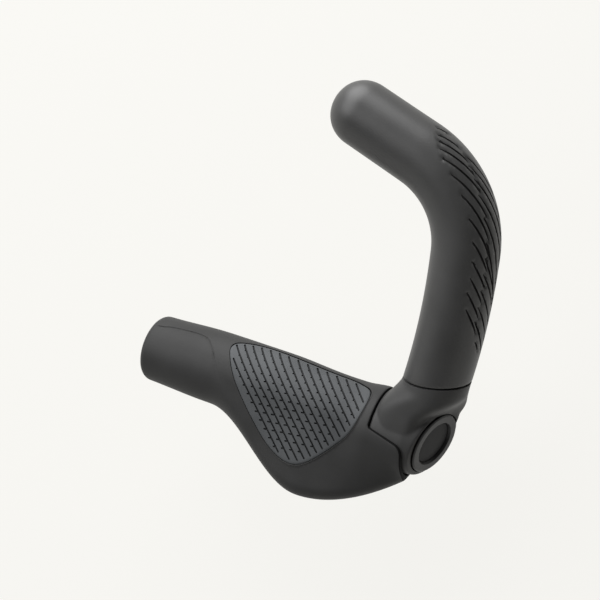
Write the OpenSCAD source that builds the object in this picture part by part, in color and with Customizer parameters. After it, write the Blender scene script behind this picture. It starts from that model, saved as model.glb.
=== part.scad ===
// Right-hand ergonomic bicycle grip with a palm wing and a long curved bar end.
// X runs along the handlebar to its outer end, Y points forward, Z points up.
// The origin is the centre of the sleeve bore at the inboard end of the grip.

/* [Handlebar and sleeve] */
// Outer diameter of the handlebar inside the grip
bar_d = 22.2; // [21:0.1:24]
// Radial room between the handlebar and the sleeve
bar_room = 0.05; // [0.02:0.01:0.15]
// Wall of the hard inner sleeve
sleeve_wall = 1.45; // [1.2:0.05:2]
// Width of the saw cuts that let the sleeve close under the clamp
sleeve_slot_w = 1.6; // [1:0.1:2.5]
// Width of the windows that key the rubber to the sleeve
key_window_w = 5; // [3:0.5:7]
// Thickness of the stiff plate inside the wing
plate_t = 2.4; // [1.6:0.1:3]

/* [Rubber grip] */
// Length of the rubber from the inboard end to the bar end hub
grip_len = 117.5; // [105:0.5:130]
// Thickness of the rubber over the sleeve
rubber_t = 3.15; // [2.6:0.05:4.5]
// How much fuller the grip is in the middle than at its ends
grip_fullness = 0.8; // [0:0.1:2]
// Edge rounding at the inboard end
end_round = 3; // [1:0.1:3]

/* [Palm wing] */
// Distance from the bar axis to the tip of the wing
wing_reach = 41.7; // [32:0.1:48]
// Half of the wing's thickness at its rear edge
wing_edge_r = 7; // [5:0.1:9]
// Downward droop of the wing behind the bar, in degrees
wing_droop = 10; // [0:1:18]
// Distance from the inboard end to where the wing starts to grow
wing_start_x = 37; // [20:1:45]
// Distance from the inboard end to the widest place of the wing
wing_peak_x = 90; // [82:1:96]
// Length of the skirt that the wing puts over the hub
skirt_len = 17.5; // [10:0.5:18]
// Least thickness of the skirt where its edge lies on the hub
skirt_t = 0.8; // [0.6:0.1:2]

/* [Palm pad] */
// Thickness of the pad let into the wing
pad_t = 2; // [1.4:0.1:3]
// How far the pad stands proud of the rubber around it
pad_proud = 0.2; // [0:0.05:0.5]
// Width of the gap line around the pad
pad_gap = 0.3; // [0.2:0.05:0.6]
// Width of the plain rubber between the pad and the wing's rear edge
pad_rim = 9.8; // [7:0.1:14]
// Distance between the centres of the pad's grooves
groove_pitch = 3.5; // [2.5:0.1:6]
// Width of a groove in the pad
groove_w = 0.7; // [0.4:0.05:1.2]
// Depth of a groove in the pad
groove_depth = 0.8; // [0.4:0.05:1.2]
// Angle of the grooves from the bar, seen from above, in degrees
groove_angle = 43.7; // [30:0.1:60]

/* [Clamp] */
// Wall of the aluminium clamp band
band_wall = 2.6; // [2:0.1:3.5]
// Width of the clamp band along the bar
band_w = 12.5; // [10:0.5:14]
// Width of the gap that the bolt closes
band_gap = 2.4; // [1.6:0.1:3.5]
// Thickness of each of the two ears of the band
ear_t = 6; // [5:0.1:7]
// Nominal diameter of the clamp bolt
bolt_d = 5; // [4:0.5:6]
// Diameter of the bolt's head
bolt_head_d = 8.5; // [7:0.1:10]
// Height of the bolt's head
bolt_head_h = 5; // [4:0.1:6]
// Width across the flats of the hexagon socket
bolt_hex = 4; // [2.5:0.5:5]
// Width of the square nut on the upper ear
nut_w = 8; // [7:0.1:9]

/* [Bar end hub] */
// Wall of the hub around the clamp band
hub_wall = 1.5; // [1.2:0.1:3]
// Length of the hub from the grip to the middle of its cap
hub_len = 24.5; // [23:0.1:30]
// Length of the hub's straight part before it narrows to the cap
hub_straight = 15; // [8:0.5:18]
// Running gap between the rubber grip and the hub
hub_gap = 0.3; // [0.2:0.05:0.5]
// How much thinner the hub is at its cap, on the radius
hub_taper = 1.9; // [0:0.1:2]
// Turn of the cap away from the rider's hand, in degrees
cap_back = 7.5; // [0:0.5:12]
// Turn of the cap upwards, in degrees
cap_up = 16.5; // [0:0.5:18]
// Outer radius of the end cap
cap_r = 14.1; // [13:0.1:14.2]
// Thickness of the end cap
cap_t = 2.8; // [2:0.1:3]
// Width of the cap's raised ring
cap_ring_w = 3.7; // [2:0.1:6]
// Depth of the dark disc below the ring
cap_recess = 0.8; // [0.3:0.1:1.2]

/* [Bar end arm] */
// Angle at which the arm rises forward from the bar, in degrees
arm_rise = 36; // [20:1:50]
// Outward lean of the arm where it leaves the hub, in degrees
arm_lean = 11.8; // [4:1:16]
// Distance of the arm's root from the hub's inboard face, on the bar axis
arm_offset = 16; // [14:0.5:19]
// Length of the gently bowed lower part of the arm
arm_len = 86.3; // [70:1:110]
// Turn of the gently bowed lower part, in degrees
arm_bow = 15.8; // [10:1:20]
// Radius of the tight bend at the top
bend_r = 40.8; // [34:0.5:60]
// Turn of the tight bend, in degrees
bend_turn = 66; // [40:1:80]
// Length of the straight tip after the bend
tip_len = 42.2; // [25:1:60]
// Radius of the arm's lower part
arm_r = 14.1; // [12.5:0.05:15]
// Radius of the arm near its tip
tip_r = 13.85; // [12:0.05:15]
// Distance along the arm from the bar axis to the edge of its rubber
cover_start = 29.2; // [28:0.1:40]
// Thickness of the arm's rubber
cover_t = 3.6; // [2.5:0.1:5]
// Width of the engraved lines on the arm's outer side
line_w = 0.7; // [0.4:0.05:1.2]
// Depth of the engraved lines
line_depth = 0.6; // [0.3:0.05:1]

/* [Hidden] */
$fn = 64;

// Radii that stack outward from the handlebar
bore_r = bar_d / 2 + bar_room;
sleeve_r = bore_r + sleeve_wall;
run_room = 0.05;
band_r = sleeve_r + run_room;
band_outer_r = band_r + band_wall;
band_room = 0.25;
cavity_r = band_outer_r + band_room;
hub_r = cavity_r + hub_wall;
grip_r = sleeve_r + rubber_t;
skirt_r = hub_r + hub_gap + skirt_t;

// Places along the bar
hub_x = grip_len + hub_gap;
cap_x = hub_x + hub_len;
band_inset = 3.4;
band_x = hub_x + band_inset;
band_end_x = band_x + band_w;
sleeve_len = band_end_x + 0.3;
skirt_end_x = grip_len + skirt_len;
arm_root_x = hub_x + arm_offset;

// Smooth step from 0 to 1 while x runs from a to b
function ease(x, a, b) = let (t = min(1, max(0, (x - a) / (b - a)))) t * t * (3 - 2 * t);
function mix(a, b, t) = a + (b - a) * t;

// Wing sections: the hull of the round grip and of a smaller circle at the wing's rear edge
full_x = [0, 0.27 * grip_len, 0.53 * grip_len, 0.885 * grip_len];
swell = 0.35;
swell_x = [0.68 * grip_len, 0.936 * grip_len];
skirt_grow_x = [grip_len - 12, grip_len];
skirt_back = 0.8;
function tube_r(x) = grip_r + grip_fullness * ease(x, full_x[0], full_x[1]) * (1 - ease(x, full_x[2], full_x[3]))
    + swell * ease(x, swell_x[0], swell_x[1])
    + (skirt_r - grip_r - swell) * ease(x, skirt_grow_x[0], skirt_grow_x[1]) - round_inset(x);
lean_forward = 0.9;
lean_x = [0, 0.34 * grip_len, 0.6 * grip_len, 0.85 * grip_len];
function tube_y(x) = lean_forward * ease(x, lean_x[0], lean_x[1]) * (1 - ease(x, lean_x[2], lean_x[3]))
    - skirt_back * ease(x, skirt_grow_x[0], skirt_grow_x[1]);
function round_inset(x) = x < end_round ? end_round - sqrt(end_round ^ 2 - (end_round - x) ^ 2) : 0;
// Behind its peak the wing draws in towards the hub, by a share of its reach at the tail's end
wing_tail = skirt_end_x + 6 - wing_peak_x;
tail_share = 0.664;
tail_power = 1.9;
thin_x = wing_peak_x - 10;
function wing_out(x) = x < wing_peak_x
    ? mix(tube_r(x), wing_reach, ease(x, wing_start_x, wing_peak_x))
    : wing_reach * (1 - tail_share * ((x - wing_peak_x) / wing_tail) ^ tail_power);
function edge_r(x) = min(mix(tube_r(x), wing_edge_r, ease(x, wing_start_x, thin_x)), tube_r(x) - 0.01);
function edge_centre(x) = let (d = max(wing_out(x), tube_r(x)) - edge_r(x))
    [-d * cos(wing_droop), -d * sin(wing_droop)];

// Height of the section's upper (side 1) or lower (side -1) line at y
function section_z(x, y, side) =
    let (ct = [tube_y(x), 0], rt = tube_r(x), ce = edge_centre(x), re = edge_r(x))
    let (v = ce - ct, d = norm(v), open = d > rt - re + 0.02)
    let (turn = open ? acos((rt - re) / d) : 0, along = atan2(v[1], v[0]))
    let (a = along - side * turn, n = [cos(a), sin(a)], pt = ct + rt * n, pe = ce + re * n)
    !open || y >= pt[0] ? side * sqrt(max(0, rt ^ 2 - (y - ct[0]) ^ 2))
    : y <= pe[0] ? ce[1] + side * sqrt(max(0, re ^ 2 - (y - ce[0]) ^ 2))
    : mix(pt[1], pe[1], (pt[0] - y) / (pt[0] - pe[0]));
function front_y(x) = tube_y(x) + tube_r(x);
function rear_y(x) = min(tube_y(x) - tube_r(x), edge_centre(x)[0] - edge_r(x));
function rear_z(x) = edge_centre(x)[0] - edge_r(x) < tube_y(x) - tube_r(x) ? edge_centre(x)[1] : 0;

// One ring of the wing at x, from the front below to the rear and back over the top
wing_steps = 22;
function wing_ring(x) =
    let (yf = front_y(x), yr = rear_y(x))
    [for (i = [0:2 * wing_steps - 1])
        let (c = cos(180 * i / wing_steps), y = (yf + yr) / 2 + (yf - yr) / 2 * c)
        i == 0 ? [x, yf, 0]
        : i == wing_steps ? [x, yr, rear_z(x)]
        : [x, y, section_z(x, y, i < wing_steps ? -1 : 1)]];

// Closed skin through a list of rings with equal numbers of points
module loft(rings) {
    n = len(rings[0]);
    m = len(rings);
    sides = [for (j = [0:m - 2], i = [0:n - 1], k = [0:1])
        let (a = j * n + i, b = j * n + (i + 1) % n)
        k == 0 ? [a, b, b + n] : [a, b + n, a + n]];
    first = [[for (i = [n - 1:-1:0]) i]];
    last = [[for (i = [0:n - 1]) (m - 1) * n + i]];
    polyhedron(points = [for (r = rings) each r], faces = concat(sides, first, last));
}

form_end_x = skirt_end_x + 4;
wing_stations = [0, 0.3, 0.9, 1.8, 3, 6, each [10:5:wing_start_x - 3], each [wing_start_x:3.1:form_end_x - 2], form_end_x];
module wing_form() loft([for (x = wing_stations) wing_ring(x)]);

// A smooth closed curve through a few points
function spline_point(p, i, t) =
    let (n = len(p), a = p[(i + n - 1) % n], b = p[i % n], c = p[(i + 1) % n], d = p[(i + 2) % n])
    0.5 * (2 * b + (c - a) * t + (2 * a - 5 * b + 4 * c - d) * t ^ 2 + (3 * b - a - 3 * c + d) * t ^ 3);
function smooth_loop(p, steps) = [for (i = [0:len(p) - 1], k = [0:steps - 1]) spline_point(p, i, k / steps)];

// Pad outline: share of the pad's length, and share of the room in front of or behind the bar axis
pad_x0 = wing_start_x + 6;
pad_end_x = grip_len - 4.5;
pad_len = pad_end_x - pad_x0;
pad_least = 4;
pad_shape = [[0, 0.51], [0.05, 0.72], [0.25, 0.84], [0.65, 0.81], [0.9, 0.75], [1, 0.44], [0.975, -0.27],
    [0.86, -0.61], [0.71, -0.88], [0.59, -0.97], [0.44, -1], [0.28, -0.92], [0.13, -0.53], [0.035, 0.19]];
function pad_point(s) =
    let (x = pad_x0 + s[0] * pad_len)
    [x, s[1] > 0 ? s[1] * front_y(x) : s[1] * max(pad_least, wing_out(x) - pad_rim)];
pad_middle = pad_point([0.62, -0.3]);
pad_loop = smooth_loop([for (s = pad_shape) pad_point(s)], 4);

// Loop moved outward by d along its own normals
function grown(loop, d) =
    let (n = len(loop))
    [for (i = [0:n - 1])
        let (t = loop[(i + 1) % n] - loop[(i + n - 1) % n], u = t / norm(t)) loop[i] + d * [-u[1], u[0]]];
function on_wing(p, h) = [p[0], p[1], section_z(p[0], p[1], 1) + h];
function toward(loop, f) = [for (p = loop) mix(p, pad_middle, f)];

// Plate that follows the wing's upper surface between two depths
module wing_plate(loop, low, high, bevel) {
    shares = [0, 0.3, 0.6];
    n = len(loop);
    inner = grown(loop, -bevel);
    bottom = [for (f = shares) [for (p = toward(loop, f)) on_wing(p, low)]];
    top = [for (f = shares) [for (p = toward(f == 0 ? inner : loop, f)) on_wing(p, high)]];
    side = [for (p = loop) on_wing(p, high - bevel)];
    rings = concat([bottom[2], bottom[1], bottom[0], side], top);
    loft_closed(rings, on_wing(pad_middle, low), on_wing(pad_middle, high));
}

// Closed skin through rings, ending in a single point at each end
module loft_closed(rings, start, end) {
    n = len(rings[0]);
    m = len(rings);
    sides = [for (j = [0:m - 2], i = [0:n - 1], k = [0:1])
        let (a = j * n + i, b = j * n + (i + 1) % n)
        k == 0 ? [a, b, b + n] : [a, b + n, a + n]];
    first = [for (i = [0:n - 1]) [n * m, (i + 1) % n, i]];
    last = [for (i = [0:n - 1]) [n * m + 1, (m - 1) * n + i, (m - 1) * n + (i + 1) % n]];
    polyhedron(points = concat([for (r = rings) each r], [start, end]), faces = concat(sides, first, last));
}

module along_bar(x) translate([x, 0, 0]) rotate([0, 90, 0]) children();

// Plan of everything that the grip leaves free beside the hub, with one rounded inner corner
skirt_side_y = -5.6;
skirt_corner = [skirt_end_x - 0.7, skirt_side_y - 4.1];
skirt_corner_r = 5;
hub_corner_r = 1.2;
far = 60;
skirt_rear = [skirt_end_x + 3.8, -wing_reach - 3.3];
function corner_arc(a, b, c, r, steps) =
    let (u = (a - b) / norm(a - b), v = (c - b) / norm(c - b), half = acos(u * v) / 2)
    let (m = b + (u + v) / norm(u + v) * r / sin(half), t0 = b + u * r / tan(half), t1 = b + v * r / tan(half))
    let (a0 = atan2(t0[1] - m[1], t0[0] - m[0]), a1 = atan2(t1[1] - m[1], t1[0] - m[0]))
    let (turn = a1 - a0 > 180 ? a1 - a0 - 360 : a1 - a0 < -180 ? a1 - a0 + 360 : a1 - a0)
    [for (i = [0:steps]) m + r * [cos(a0 + turn * i / steps), sin(a0 + turn * i / steps)]];
module beside_hub() {
    front = [grip_len, far];
    side = [grip_len, skirt_side_y];
    outline = concat([[form_end_x + far, far], front], corner_arc(front, side, skirt_corner, hub_corner_r, 4),
        corner_arc(side, skirt_corner, skirt_rear, skirt_corner_r, 8), [skirt_rear, [form_end_x + far, skirt_rear[1]]]);
    translate([0, 0, -far]) linear_extrude(2 * far) polygon(outline);
}

// Outside of the hub as a profile of distance from the bar axis over length, grown by d
hub_edge = 0.4;
module hub_body(d) {
    end = hub_len + 8;
    along_bar(hub_x) rotate_extrude()
        polygon([[0, -d], [hub_r - hub_edge + d, -d], [hub_r + d, hub_edge], [hub_r + d, hub_straight],
            [hub_r - hub_taper + d, hub_len], [hub_r - hub_taper + d, end], [0, end]]);
}

key_window_l = 14;
key_count = 5;
key_first_x = 12;
key_pitch = (grip_len - key_first_x - 5.5) / key_count;
module windows() {
    for (i = [0:key_count - 1])
        translate([key_first_x + i * key_pitch, -key_window_w / 2, -2 * sleeve_r])
            cube([key_window_l, key_window_w, 4 * sleeve_r]);
}

// Stiff plate in the wing, with round holes that the rubber flows through
plate_x0 = wing_start_x + 19;
plate_x1 = grip_len - 8;
plate_cover = 1.5;
plate_hole_r = 3.2;
function plate_y(x) = -(wing_out(x) - wing_edge_r - plate_cover);
module wing_bone() {
    steps = 6;
    xs = [for (i = [0:steps]) mix(plate_x0, plate_x1, i / steps)];
    rotate([wing_droop, 0, 0]) translate([0, 0, -plate_t / 2]) linear_extrude(plate_t) difference() {
        polygon(concat([[plate_x0, 0]], [for (x = xs) [x, plate_y(x)]], [[plate_x1, 0]]));
        for (i = [1.6:1.1:steps - 0.8])
            translate([mix(plate_x0, plate_x1, i / steps), (plate_y(xs[floor(i)]) - sleeve_r) / 2])
                circle(r = plate_hole_r);
    }
}
module sleeve_blank() {
    difference() {
        along_bar(0) cylinder(r = sleeve_r, h = sleeve_len);
        windows();
    }
    difference() {
        wing_bone();
        along_bar(0) cylinder(r = sleeve_r - 0.2, h = sleeve_len);
    }
}
slot_count = 3;
slot_x = grip_len - 4;
module inner_sleeve() {
    color("#2a2b2e") difference() {
        sleeve_blank();
        along_bar(-1) cylinder(r = bore_r, h = sleeve_len + 2);
        for (i = [0:slot_count - 1])
            rotate([arm_rise + 60 + i * 360 / slot_count, 0, 0])
                translate([slot_x, 0, -sleeve_slot_w / 2]) cube([sleeve_len, 2 * sleeve_r, sleeve_slot_w]);
    }
}

pad_floor = pad_t;
pad_bevel = 0.4;
module grip_rubber() {
    color("#3b3c3d") difference() {
        wing_form();
        sleeve_blank();
        along_bar(-1) cylinder(r = bore_r + 0.2, h = sleeve_len + 2);
        wing_plate(grown(pad_loop, pad_gap), -pad_floor, 2, pad_bevel);
        hub_body(hub_gap);
        beside_hub();
    }
}

// Grooves run as straight lines in plan and follow the surface
groove_dir = [cos(groove_angle), -sin(groove_angle)];
groove_side = [sin(groove_angle), cos(groove_angle)];
groove_across = [for (p = pad_loop) p * groove_side];
groove_along = [for (p = pad_loop) p * groove_dir];
groove_step = 8;
groove_margin = 1.6;
function inside_pad(p) =
    let (n = len(pad_loop), loop = grown(pad_loop, -groove_margin))
    len([for (i = [0:n - 1])
        let (a = loop[i], b = loop[(i + 1) % n])
        if ((a[1] > p[1]) != (b[1] > p[1]) && p[0] < a[0] + (p[1] - a[1]) * (b[0] - a[0]) / (b[1] - a[1])) 1]) % 2 == 1;
function groove_ring(p) =
    let (q = on_wing(p, -groove_depth), side = groove_w / 2 * [groove_side[0], groove_side[1], 0])
    [q - side, q + side, q + side + [0, 0, 3], q - side + [0, 0, 3]];
module pad_grooves() {
    first = ceil((min(groove_across) + groove_margin) / groove_pitch);
    last = floor((max(groove_across) - groove_margin) / groove_pitch);
    for (k = [first:last]) {
        line = [for (t = [min(groove_along):0.5:max(groove_along)])
            let (p = groove_side * k * groove_pitch + groove_dir * t) if (inside_pad(p)) t];
        count = len(line) > 1 ? max(1, round((max(line) - min(line)) / groove_step)) : 0;
        if (count > 0) loft([for (j = [0:count])
            groove_ring(groove_side * k * groove_pitch + groove_dir * mix(max(line), min(line), j / count))]);
    }
}
module palm_pad() {
    color("#6d6f71") difference() {
        wing_plate(pad_loop, -pad_floor + 0.05, pad_proud, pad_bevel);
        pad_grooves();
    }
}

// The bar end is drawn lying along Y and then turned up by its rise
module bar_end_frame() rotate([arm_rise, 0, 0]) children();

// Centreline of the arm: a gentle bow, a tight bend and a straight tip
bow_r = arm_len / (arm_bow * PI / 180);
bend_len = bend_r * bend_turn * PI / 180;
arm_total = arm_len + bend_len + tip_len;
function arc_point(p, a, r, turn) = p + r * [cos(a - turn) - cos(a), sin(a) - sin(a - turn)];
function heading(t) = t < arm_len ? arm_lean - arm_bow * t / arm_len
    : arm_lean - arm_bow - bend_turn * min(1, (t - arm_len) / bend_len);
function arm_point(t) =
    let (root = [arm_root_x, 0], p1 = arc_point(root, arm_lean, bow_r, arm_bow))
    let (a1 = arm_lean - arm_bow, p2 = arc_point(p1, a1, bend_r, bend_turn), a2 = a1 - bend_turn)
    t < arm_len ? arc_point(root, arm_lean, bow_r, arm_bow * t / arm_len)
    : t < arm_len + bend_len ? arc_point(p1, a1, bend_r, bend_turn * (t - arm_len) / bend_len)
    : p2 + (t - arm_len - bend_len) * [sin(a2), cos(a2)];
function arm_section_r(t) = mix(arm_r, tip_r, ease(t, arm_len, arm_total - 2 * tip_r));
function dome(u, p) = (1 - min(1, max(0, u)) ^ p) ^ (1 / p);
function arm_ring(t, r, sides) =
    let (p = arm_point(t), a = heading(t), n = [cos(a), -sin(a)])
    [for (i = [0:sides - 1])
        let (f = 360 * i / sides, q = p + r * cos(f) * n) [q[0], q[1], r * sin(f)]];

// Solid arm from distance t0 to a domed end, thinner than the outer skin by d
dome_steps = [0.25, 0.48, 0.68, 0.83, 0.93, 0.985];
module arm_solid(t0, d, sides, steps) {
    dome_l = tip_r - d;
    t_dome = arm_total - tip_r;
    shaft = [for (i = [0:steps]) let (t = mix(t0, t_dome, i / steps)) arm_ring(t, arm_section_r(t) - d, sides)];
    tip = [for (u = dome_steps) arm_ring(t_dome + u * dome_l, dome_l * dome(u, 2.1), sides)];
    loft(concat(shaft, tip));
}
module arm_skin() arm_solid(shank_start + 2, 0, 28, 22);
module arm_shank() arm_solid(shank_start, cover_t, 16, 14);

// Neck between hub and arm, in level sections that change from a rounded box to the arm's round
neck_top = 38;
hub_fillet_s = [12, 27];
flank_s = [11, 26];
square_s = [13, 26];
slant_s = [14, 30];
slant = 1.3 * tan(cap_up);
function bow_angle(s) = asin(sin(arm_lean) - s / bow_r);
function arm_x(s) = arm_root_x + bow_r * (cos(bow_angle(s)) - cos(arm_lean));
function arm_side(s, side) = arm_x(s) + side * arm_r / cos(bow_angle(s));
function neck_low(s) = mix(hub_x + 0.1, arm_side(s, -1), ease(s, hub_fillet_s[0], hub_fillet_s[1]));
function cap_line(s) = cap_x - 0.4 + max(0, s) * tan(cap_back);
function neck_high(s) = mix(cap_line(s), arm_side(s, 1), ease(s, flank_s[0], flank_s[1]));
function neck_depth(s) = mix(hub_r - 1, arm_r, ease(s, 0, cover_start));
function neck_power(s) = mix(4.5, 2, ease(s, square_s[0], square_s[1]));
neck_sides = 32;
function signed_power(v, p) = sign(v) * abs(v) ^ p;
function neck_ring(s) =
    let (lo = neck_low(s), hi = neck_high(s), b = neck_depth(s), p = 2 / neck_power(s))
    let (shear = slant * (1 - ease(s, slant_s[0], slant_s[1])))
    [for (i = [0:neck_sides - 1])
        let (f = 360 * i / neck_sides, z = b * signed_power(sin(f), p), c = signed_power(cos(f), p))
        [(lo + hi) / 2 + (hi - lo) / 2 * c - (c > 0 ? shear * z * c : 0), s, z]];
module neck() loft([for (s = [-3, 0, each [4:2:neck_top]]) neck_ring(s)]);

// Everything beyond the slanted edge of the arm's rubber
seam_tilt = 9;
seam_gap = 0.3;
module above_seam(d) {
    translate([arm_x(cover_start), cover_start + d, 0]) rotate([0, 0, seam_tilt])
        translate([-far, 0, -far]) cube([2 * far, 2 * arm_total, 2 * far]);
}

// Frame of the slanted cap: its Z leaves the hub
module at_cap() translate([cap_x, 0, 0]) rotate([0, -cap_up, -cap_back]) rotate([0, 90, 0]) children();

bolt_wall = 0.7;
bolt_y = band_outer_r + bolt_d / 2 + bolt_wall;
ear_beyond = 4.9;
ear_end = bolt_y + ear_beyond;
ear_w = 10;
ear_start = band_r + 0.2;
ear_x = hub_x + 9.9;
bolt_x = ear_x + ear_w / 2;
ear_top = band_gap / 2 + ear_t;
ear_room = 0.3;
nut_t = 3.2;
tip_room = 1.2;
washer_t = 1;
washer_d = bolt_head_d + 0.8;
head_room = 0.45;
module at_bolt() translate([bolt_x, bolt_y, 0]) children();

cap_room = 0.25;
stem_r = 9;
shank_start = 18;
module bar_end_core() {
    color("#48494b") bar_end_frame() difference() {
        union() {
            difference() {
                hub_body(0);
                at_cap() translate([0, 0, 25]) cube([60, 60, 50], center = true);
            }
            difference() {
                neck();
                above_seam(0);
            }
            arm_shank();
        }
        along_bar(hub_x - 1) cylinder(r = cavity_r, h = band_end_x + 0.4 - hub_x + 1);
        translate([ear_x - ear_room, ear_start - ear_room, -ear_top - ear_room])
            cube([ear_w + 2 * ear_room, ear_end - ear_start + 2 * ear_room, 2 * (ear_top + ear_room)]);
        translate([bolt_x - nut_w / 2 - ear_room, bolt_y - nut_w / 2 - ear_room, 0])
            cube([nut_w + 2 * ear_room, nut_w + 2 * ear_room, ear_top + nut_t + tip_room]);
        at_bolt() translate([0, 0, -40]) cylinder(d = washer_d + 2 * head_room, h = 40);
        at_cap() translate([0, 0, -cap_t]) cylinder(r = cap_r + cap_room, h = 30);
        at_cap() translate([0, 0, -cap_t - 12]) cylinder(r = stem_r, h = 13);
    }
}
// Engraved lines on the arm's outer side: share of the arm's length where each starts, and angle round the arm
line_starts = [[1.53, 12], [1.507, 25], [1.488, 35], [1.465, 44], [1.432, 53], [1.36, 58], [1.275, 60], [1.176, 61],
    [1.083, 60], [1.002, 59], [0.927, 59], [0.857, 60], [0.776, 57], [0.695, 52], [0.614, 47]];
line_steps = 3;
line_shift = 3.4;
inner_lines = [3:11];
inner_from = 0.6;
inner_end = -8;
function line_slope(t) = mix(1.45, 2.4, ease(t, 1.1 * arm_len, 1.3 * arm_len));
function line_point(start, a, shift) =
    let (t = start[0] * arm_len) [t - line_slope(t) * arm_r * (start[1] - a) * PI / 180 - shift, a];
function on_arm(q, h) =
    let (p = arm_point(q[0]), a = heading(q[0]), r = arm_section_r(q[0]) + h)
    [p[0] + r * cos(q[1]) * cos(a), p[1] - r * cos(q[1]) * sin(a), r * sin(q[1])];
function line_ring(q0, q1, q, depth) =
    let (way = on_arm(q1, 0) - on_arm(q0, 0), up = on_arm(q, 1) - on_arm(q, 0))
    let (side = line_w / 2 * cross(way, up) / norm(cross(way, up)), low = on_arm(q, -depth), high = on_arm(q, 2))
    [low - side, low + side, high + side, high - side];
module engraved_line(start, a0, a1, shift) {
    q = [for (i = [0:line_steps]) line_point(start, mix(a0, a1, i / line_steps), shift)];
    loft([for (i = [0:line_steps])
        line_ring(q[max(0, i - 1)], q[min(line_steps, i + 1)], q[i], i % line_steps == 0 ? line_depth / 4 : line_depth)]);
}
module engraving() {
    for (start = line_starts) engraved_line(start, start[1], start[1] / 2, 0);
    for (i = inner_lines)
        engraved_line(line_starts[i], inner_from * line_starts[i][1], inner_end, line_shift);
}
module bar_end_cover() {
    color("#3a3b3c") bar_end_frame() difference() {
        intersection() {
            arm_skin();
            above_seam(seam_gap);
        }
        arm_shank();
        engraving();
    }
}
module clamp_band() {
    color("#b9bcc0") bar_end_frame() difference() {
        union() {
            along_bar(band_x) cylinder(r = band_outer_r, h = band_w);
            for (z = [-ear_top, band_gap / 2])
                translate([ear_x, ear_start, z]) cube([ear_w, ear_end - ear_start, ear_t]);
        }
        along_bar(hub_x - 20) cylinder(r = band_r, h = 60);
        translate([hub_x - 20, 0, -band_gap / 2]) cube([60, 60, band_gap]);
        at_bolt() translate([0, 0, -20]) cylinder(d = bolt_d + 0.5, h = 40);
    }
}
module bolt_washer() {
    color("#c9ccd0") bar_end_frame() at_bolt() translate([0, 0, -ear_top - washer_t]) difference() {
        cylinder(d = washer_d, h = washer_t);
        translate([0, 0, -1]) cylinder(d = bolt_d + 0.4, h = washer_t + 2);
    }
}
bolt_tip = ear_top + nut_t + 0.8;
module clamp_bolt() {
    under_head = -ear_top - washer_t;
    color("#8f9296") bar_end_frame() at_bolt() difference() {
        union() {
            translate([0, 0, under_head - bolt_head_h]) cylinder(d = bolt_head_d, h = bolt_head_h);
            translate([0, 0, under_head]) cylinder(d = bolt_d, h = bolt_tip - under_head);
        }
        translate([0, 0, under_head - bolt_head_h - 1])
            cylinder(d = bolt_hex / cos(30), h = 1 + bolt_head_h * 0.6, $fn = 6);
    }
}
module clamp_nut() {
    color("#a5a8ac") bar_end_frame() at_bolt() translate([0, 0, ear_top]) difference() {
        translate([-nut_w / 2, -nut_w / 2, 0]) cube([nut_w, nut_w, nut_t]);
        translate([0, 0, -1]) cylinder(d = bolt_d + 0.06, h = nut_t + 2);
    }
}

// End cap: a ring with a floor and a stem, and the disc in its recess
disc_t = 1;
cap_proud = 0.5;
cap_edge = 0.8;
cap_inner_r = cap_r - cap_ring_w;
stem_l = 2.4;
module end_plug() {
    snap_r = cap_r + cap_room - 0.05;
    color("#2f3032") bar_end_frame() at_cap() rotate_extrude()
        polygon([[0, -cap_t - stem_l], [stem_r - 0.05, -cap_t - stem_l], [stem_r - 0.05, -cap_t],
            [snap_r, -cap_t], [snap_r, -cap_t + 0.7], [cap_r, -cap_t + 0.9], [cap_r, cap_proud - cap_edge],
            [cap_r - 0.3 * cap_edge, cap_proud - 0.3 * cap_edge], [cap_r - cap_edge, cap_proud],
            [cap_inner_r + 0.5, cap_proud], [cap_inner_r, cap_proud - 0.5],
            [cap_inner_r, cap_proud - cap_recess - disc_t], [0, cap_proud - cap_recess - disc_t]]);
}
module plug_disc() {
    color("#232426") bar_end_frame() at_cap() translate([0, 0, cap_proud - cap_recess - disc_t])
        cylinder(r = cap_inner_r - 0.1, h = disc_t);
}

inner_sleeve();
grip_rubber();
palm_pad();
bar_end_core();
bar_end_cover();
clamp_band();
clamp_bolt();
bolt_washer();
clamp_nut();
end_plug();
plug_disc();
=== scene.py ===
import math

import bmesh
import bpy
import numpy as np
from mathutils import Matrix, kdtree
from mathutils.geometry import delaunay_2d_cdt


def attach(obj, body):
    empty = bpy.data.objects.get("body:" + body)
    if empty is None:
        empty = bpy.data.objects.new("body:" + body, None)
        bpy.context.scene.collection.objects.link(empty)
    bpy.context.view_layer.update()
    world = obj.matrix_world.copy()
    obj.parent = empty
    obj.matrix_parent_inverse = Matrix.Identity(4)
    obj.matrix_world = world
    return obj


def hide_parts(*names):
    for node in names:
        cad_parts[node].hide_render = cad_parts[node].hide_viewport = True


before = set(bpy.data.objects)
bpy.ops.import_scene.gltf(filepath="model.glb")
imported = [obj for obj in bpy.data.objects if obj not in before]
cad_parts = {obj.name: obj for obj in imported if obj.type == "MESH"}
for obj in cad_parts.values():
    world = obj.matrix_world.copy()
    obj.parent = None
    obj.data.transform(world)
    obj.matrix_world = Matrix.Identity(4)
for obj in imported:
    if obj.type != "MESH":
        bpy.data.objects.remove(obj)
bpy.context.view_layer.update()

# Shapes are written in millimetres in the row frame and scaled once, when a mesh is made
metre = 0.001

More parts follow.
